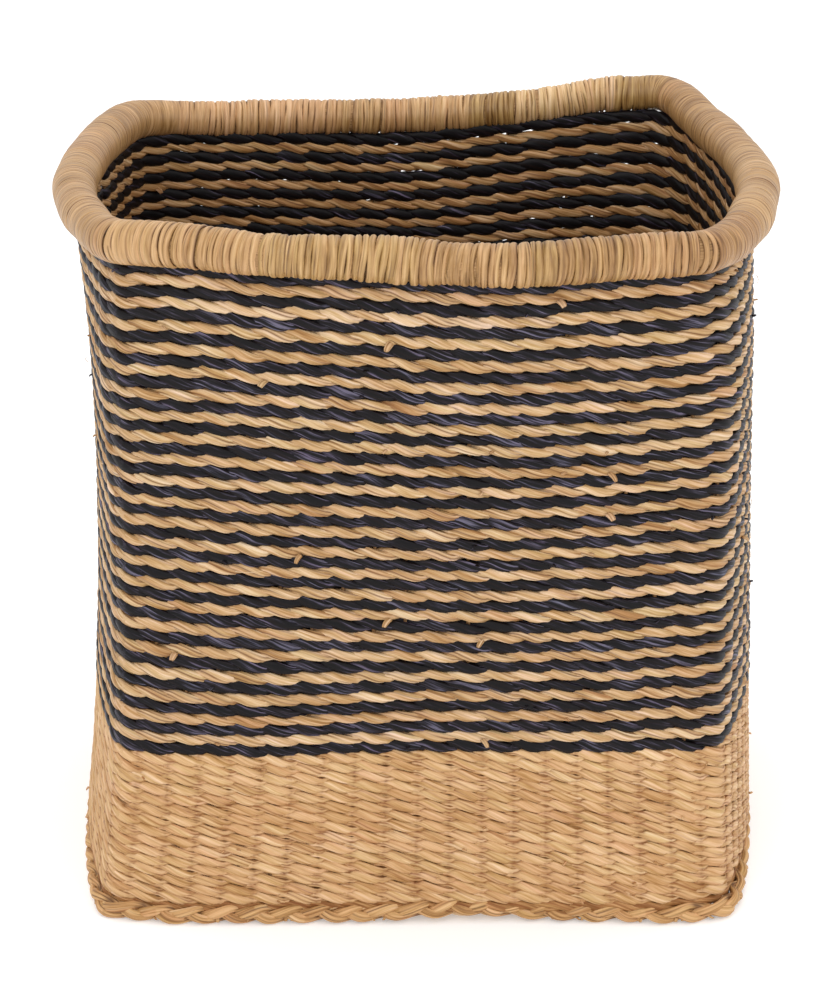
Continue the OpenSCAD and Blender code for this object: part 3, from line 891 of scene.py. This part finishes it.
def base():
    us = np.arange(1200) / 300.0
    plan, nrm = surf(us, np.full(1200, 4.0))
    plan, nrm = plan[:, :2], nrm[:, :2]
    lo, _ = box_mm("base_weave_lower")
    _, hi = box_mm("base_weave_upper")
    zc = (lo[2] + hi[2]) / 2
    rods_lo, rods_hi = box_mm("base_rods")
    inset = 0.4
    edge = plan - nrm * inset
    y0, y1 = edge[:, 1].min() + 2.4, edge[:, 1].max() - 1.8
    rows = np.linspace(y0, y1, int(round((y1 - y0) / 5.05)) + 1)
    rod_x = np.linspace(rods_lo[0] + 1, rods_hi[0] - 1, N_FB)
    gap = rod_x[1] - rod_x[0]

    def span(y):
        xs = []
        a, b = edge, np.roll(edge, -1, 0)
        hit = (a[:, 1] - y) * (b[:, 1] - y) < 0
        for p, q in zip(a[hit], b[hit]):
            xs.append(p[0] + (q[0] - p[0]) * (y - p[1]) / (q[1] - p[1]))
        return (min(xs), max(xs)) if len(xs) > 1 else None

    bags = [Bag(), Bag()]
    for r, y in enumerate(rows):
        sp = span(y)
        if sp is None or sp[1] - sp[0] < 12:
            continue
        half = 0 if y < (y0 + y1) / 2 else 1
        for ph in (0.0, math.pi):
            rng = np.random.default_rng(600 + 2 * r + int(ph > 1))
            n = max(10, int((sp[1] - sp[0]) / gap * 8))
            x = np.linspace(sp[0], sp[1], n)
            w = (x - rod_x[0]) / gap
            phi = np.pi * w + ph
            co, si = np.cos(phi), np.sin(phi)
            out = np.abs(co)
            k = 10
            a = np.arange(k) / k * 2 * np.pi
            seg = np.floor(w + 0.5).astype(int) % 40
            rnd = rng.normal(0, 1, 40)[seg]
            size = 1 + 0.05 * rnd
            P = np.stack([x, y + 1.3 * si * (1 if True else 0), zc + 2.0 * np.sign(co) * out ** 0.8], 1)
            P[:, 1] += 0.2 * rnd * out
            hh = (1.4 + 1.15 * out ** 0.8) * size
            tt = np.full(n, 1.25)
            T = np.gradient(P, axis=0)
            T /= np.linalg.norm(T, axis=1)[:, None]
            Z = np.array([0, 0, 1.0]) - T * T[:, 2:3]
            Z /= np.linalg.norm(Z, axis=1)[:, None]
            S = np.cross(Z, T)
            g = 1 - 0.22 * (np.cos(3 * a) ** 2)[None, :] * np.clip(out, 0, 1)[:, None]
            V = P[:, None] + (tt[:, None] * np.sin(a) * g)[..., None] * Z[:, None] + (hh[:, None] * np.cos(a))[..., None] * S[:, None]
            grain = np.zeros((n, k, 3))
            grain[..., 0] = x[:, None]
            grain[..., 1] = a * 2.2
            grain[..., 2] = r + ph
            tone = np.broadcast_to((0.5 + 0.08 * rnd)[:, None], (n, k))
            # painted shade where the strands cross between the rods
            deep = np.broadcast_to((0.6 * (1 - out) ** 1.5)[:, None], (n, k))
            bags[half].sweep(V, False, tone, grain, deep)
    bags[0].mesh("base_weave_front_half", natural, (["base_weave_lower"], "natural_grass"))
    bags[1].mesh("base_weave_back_half", natural, (["base_weave_upper"], "natural_grass"))
    bag = Bag()
    for j, x in enumerate(rod_x):
        ys = []
        a, b = edge, np.roll(edge, -1, 0)
        hit = (a[:, 0] - x) * (b[:, 0] - x) < 0
        for p, q in zip(a[hit], b[hit]):
            ys.append(p[1] + (q[1] - p[1]) * (x - p[0]) / (q[0] - p[0]))
        n, k = 40, 8
        f = np.linspace(min(ys), max(ys), n)
        an = np.arange(k) / k * 2 * np.pi
        c = np.stack([np.full(n, x), f, np.full(n, zc)], 1)
        V = c[:, None] + 1.0 * np.stack([np.cos(an), np.zeros(k), np.sin(an)], 1)[None]
        grain = np.zeros((n, k, 3))
        grain[..., 0] = f[:, None]
        grain[..., 1] = an
        grain[..., 2] = j
        bag.sweep(V, False, np.full((n, k), 0.5), grain, np.full((n, k), 0.1))
    bag.mesh("base_rods_stems", stalk, (["base_rods"], "stalk"))


base()

# ---------------------------------------------------------------------------
# Rim: a stem bundle wrapped turn by turn
# ---------------------------------------------------------------------------
RIM_R = 9.0


def rim_frame(v):
    """Centre, tangent, outward and up at v from 0 to 1 round the rim, starting
    at its front left corner."""
    n = len(rim_line)
    P = periodic(np.concatenate([rim_line[:, :2], (rim_line[:, 2] + RIM_Z)[:, None]], 1), v)
    Q = periodic(np.concatenate([rim_line[:, :2], (rim_line[:, 2] + RIM_Z)[:, None]], 1), v + 2.0 / n)
    T = Q - P
    T /= np.linalg.norm(T, axis=1)[:, None]
    N3 = np.stack([T[:, 1], -T[:, 0], np.zeros(len(T))], 1)
    N3 /= np.linalg.norm(N3, axis=1)[:, None]
    U = np.cross(N3, T)
    U *= np.where(U[:, 2:3] < 0, -1, 1)
    return P, T, N3, U


def rim_radius(P):
    """The rim is thicker at the left and right than at the back."""
    side = smooth01((np.abs(P[:, 0]) - 120) / 36.0)
    back = smooth01((P[:, 1] - 60) / 60.0)
    return 9.15 + 0.8 * side - 0.35 * back * (1 - side)


def rim_wrap():
    rng = np.random.default_rng(700)
    turns = int(round(rim_len / 2.75))
    sub = 48
    n = turns * sub
    t = np.arange(n) / sub
    turn = np.floor(t).astype(int)
    f = t - turn
    soft = lambda v: periodic(v, (t - 0.5) / turns)
    # each turn has its own width, slack and lean
    wid = np.clip(1 + 0.14 * rng.normal(size=turns), 0.75, 1.3)
    pos = np.concatenate([[0], np.cumsum(wid)])
    pos = pos / pos[-1]
    v = np.interp(t, np.arange(turns + 1), pos)
    psi = 2 * np.pi * f
    P, T, N3, U = rim_frame(v)
    # at the left and right the turns lie flat over one another
    flat = smooth01((np.abs(P[:, 0]) - 100) / 30.0)[:, None]
    lump = 0.25 * noise1(rng, n, sub * 9.0) + (0.16 * noise1(rng, n, sub * 3.0) + 0.10 * noise1(rng, n, sub * 0.5)) * (1 - 0.6 * flat[:, 0])
    slack = soft(np.clip(0.26 * rng.normal(size=turns) + 0.10, -0.3, 0.9)) * (0.55 + 0.45 * np.cos(psi - 0.8)) * (1 - 0.92 * flat[:, 0])
    R = rim_radius(P) + slack + lump
    # turns start and end under the rim; in between they wander along it
    a = psi - np.pi / 2
    er = np.cos(a)[:, None] * N3 + np.sin(a)[:, None] * U
    lean = soft(0.095 * rng.normal(size=turns)) + 0.10
    drift = -2.2 * lean * np.sin(psi) + 0.26 * noise1(rng, n, sub * 0.30) + 0.18 * noise1(rng, n, sub * 0.14)
    C = P + er * (R - 0.50)[:, None] + T * drift[:, None]
    pinch = 1 + 0.11 * noise1(rng, n, sub * 0.22) + 0.07 * noise1(rng, n, sub * 0.6)
    width = (soft(wid) * 2.75 * 0.5 * 1.23 * pinch)[:, None] * (1 + 0.16 * flat)
    # across the turn: two rounded fibres with a wandering seam, flat below
    xs = np.array([-1.0, -0.90, -0.66, -0.34, -0.05, 0.24, 0.58, 0.88, 1.0, 0.5, -0.5])
    ys = np.array([-0.40, 0.12, 0.58, 0.80, 0.86, 0.84, 0.62, 0.10, -0.40, -0.6, -0.6])
    yf = np.array([0.22, 0.40, 0.53, 0.57, 0.58, 0.58, 0.55, 0.42, 0.24, -0.6, -0.6])
    fib = np.array([0, 0, 0, 0, 1, 1, 1, 1, 1, 1, 0])
    seam = np.array([0.95, 0.78, 0.3, 0, 0.0, 0, 0.3, 0.78, 0.95, 1.0, 1.0])
    k = len(xs)
    opened = np.clip(0.08 + 0.52 * noise1(rng, n, sub * 0.35), 0, 1.1)
    Y = ys[None, :] * (1 - flat) + yf[None, :] * flat
    Y[:, 4] -= 0.34 * opened * (1 - 0.5 * flat[:, 0])
    X = np.broadcast_to(xs[None, :], (n, k)).copy()
    X[:, 4] += 0.16 * noise1(rng, n, sub * 0.4)
    X = width * X
    tilt = soft(0.06 + 0.12 * rng.normal(size=turns))[:, None] * (1 - 0.9 * flat)
    Y = Y + X * tilt
    V = C[:, None] + X[..., None] * T[:, None] + Y[..., None] * er[:, None]
    grain = np.zeros((n, k, 3))
    grain[..., 0] = (t * 2 * np.pi * RIM_R)[:, None]
    grain[..., 1] = xs[None, :] * 1.4 + 3.7 * turn[:, None]
    grain[..., 2] = 11.0
    run = np.cumsum(rng.random(turns) < 0.07)
    tone = 0.5 + (0.07 * rng.normal(0, 1, turns + 2)[run])[turn][:, None] + 0.05 * rng.normal(0, 1, (turns, 2))[turn][:, fib]
    hue = 0.5 + ((0.17 * rng.normal(0, 1, turns + 2)[run])[turn][:, None] + 0.09 * rng.normal(0, 1, (turns, 2))[turn][:, fib]) * (1 - 0.55 * flat)
    tone -= 0.03
    # painted shade on the left and right sides of the rim, deepest on the right, and a lighter tone at the back
    tone += 0.02 - 0.065 * flat - 0.03 * flat * (P[:, :1] > 0) + 0.07 * smooth01((P[:, 1:2] - 80) / 50) * (1 - flat)
    # painted shade at the edges, where the turns meet, and on the underside of each turn
    deep = np.broadcast_to(seam[None, :], (n, k)) * (1 - 0.25 * flat)
    # the gap between two turns gets painted shade in short dark strokes only
    gaps = np.random.default_rng(705)
    for cols in ((0, 1, 2), (6, 7, 8)):
        stroke = np.clip(0.62 + 1.15 * noise1(gaps, n, sub * 0.13) + 0.35 * noise1(gaps, n, sub * 0.5), 0.0, 1.3)
        for c in cols:
            deep[:, c] = np.clip(deep[:, c] * stroke * 1.1, 0, 1)
    # painted shade in the seam between the two fibres as it opens
    deep[:, 4] = 0.9 * np.clip(opened, 0, 1) * (1 - 0.4 * flat[:, 0])
    side_of = np.zeros(turns, int)
    mid_v = (np.arange(turns) + 0.5)
    vv = np.interp(mid_v, np.arange(turns + 1), pos)
    PP, _, _, _ = rim_frame(vv)
    ang = np.degrees(np.arctan2(PP[:, 1], PP[:, 0]))
    names = ["front", "right", "back", "left"]
    side_of = np.where((ang > -136) & (ang <= -43), 0, np.where((ang > -43) & (ang <= 46), 1, np.where((ang > 46) & (ang <= 137), 2, 3)))
    # consecutive turns of one side stay one strip
    for sidx in range(4):
        bag = Bag()
        sel = np.where(side_of == sidx)[0]
        cuts = np.where(np.diff(sel) > 1)[0]
        for chunk in np.split(sel, cuts + 1):
            i0, i1 = chunk[0] * sub, min((chunk[-1] + 1) * sub + 1, n)
            bag.sweep(V[i0:i1][:, ::-1], False, tone[i0:i1][:, ::-1], grain[i0:i1][:, ::-1], deep[i0:i1][:, ::-1], hue[i0:i1][:, ::-1])
        bag.mesh("rim_wrap_%s_strip" % names[sidx], rim_mat, (["rim_wrap_" + names[sidx]], "rim_grass"))
    # the bundle inside
    bag = Bag()
    m, k = 720, 20
    vq = np.arange(m) / m
    P, T, N3, U = rim_frame(vq)
    an = np.arange(k) / k * 2 * np.pi
    r = rim_radius(P)[:, None] - 0.65 + 0.15 * np.cos(5 * an)[None, :] + 0 * vq[:, None]
    V = P[:, None] + (r * np.cos(an))[..., None] * N3[:, None] + (r * np.sin(an))[..., None] * U[:, None]
    grain = np.zeros((m, k, 3))
    grain[..., 0] = (vq * rim_len)[:, None]
    grain[..., 1] = an * 8
    bag.sweep(V[:, ::-1], True, np.full((m, k), 0.62), grain[:, ::-1], np.full((m, k), 0.2))
    bag.mesh("rim_core_stems", stalk, (["rim_core"], "stalk"))


rim_wrap()

# ---------------------------------------------------------------------------
# Floor, light, camera
# ---------------------------------------------------------------------------
fm = bpy.data.materials.new("studio_floor")
fm.use_nodes = True
fb = fm.node_tree.nodes["Principled BSDF"]
fb.inputs["Base Color"].default_value = (0.82, 0.82, 0.82, 1)
fb.inputs["Roughness"].default_value = 0.9
fb.inputs["Specular IOR Level"].default_value = 0.1
fb.inputs["Emission Color"].default_value = (1, 1, 1, 1)
fb.inputs["Emission Strength"].default_value = 0.30
me = bpy.data.meshes.new("studio_floor")
S = 14.0
me.from_pydata([(-S, -S, -0.0005), (S, -S, -0.0005), (S, S, -0.0005), (-S, S, -0.0005)], [], [(0, 1, 2, 3)])
me.materials.append(fm)
floor = bpy.data.objects.new("studio_floor", me)
bpy.context.scene.collection.objects.link(floor)


def area(name, loc, target, size, energy, color=(1, 1, 1)):
    ld = bpy.data.lights.new(name, "AREA")
    ld.shape = "RECTANGLE"
    ld.size, ld.size_y = size
    ld.energy = energy
    ld.color = color
    o = bpy.data.objects.new(name, ld)
    bpy.context.scene.collection.objects.link(o)
    o.location = loc
    o.rotation_euler = (Vector(target) - Vector(loc)).to_track_quat("-Z", "Y").to_euler()
    return o


area("key_softbox", (-0.9, -1.9, 1.9), (0, 0, 0.15), (1.6, 1.2), 14)
area("fill_softbox", (1.7, -1.5, 1.1), (0, 0, 0.15), (1.6, 1.4), 7)
area("top_softbox", (0.1, 0.4, 2.2), (0, 0, 0.1), (1.8, 1.8), 10)
w = bpy.data.worlds.new("studio_world")
w.use_nodes = True
w.node_tree.nodes["Background"].inputs["Color"].default_value = (1, 1, 1, 1)
w.node_tree.nodes["Background"].inputs["Strength"].default_value = 1.0
bpy.context.scene.world = w

cam_data = bpy.data.cameras.new("camera")
cam_data.sensor_fit = "VERTICAL"
cam_data.sensor_height = 24.0
cam_data.sensor_width = 24.0
cam_data.lens = 2850.0 * 24.0 / 1006.0
cam = bpy.data.objects.new("camera", cam_data)
bpy.context.scene.collection.objects.link(cam)
cam.location = (0.0, -1.300, 0.637)
cam.rotation_euler = (math.radians(90 - 20.3), 0, 0)
bpy.context.scene.camera = cam
bpy.context.scene.view_settings.view_transform = "Standard"
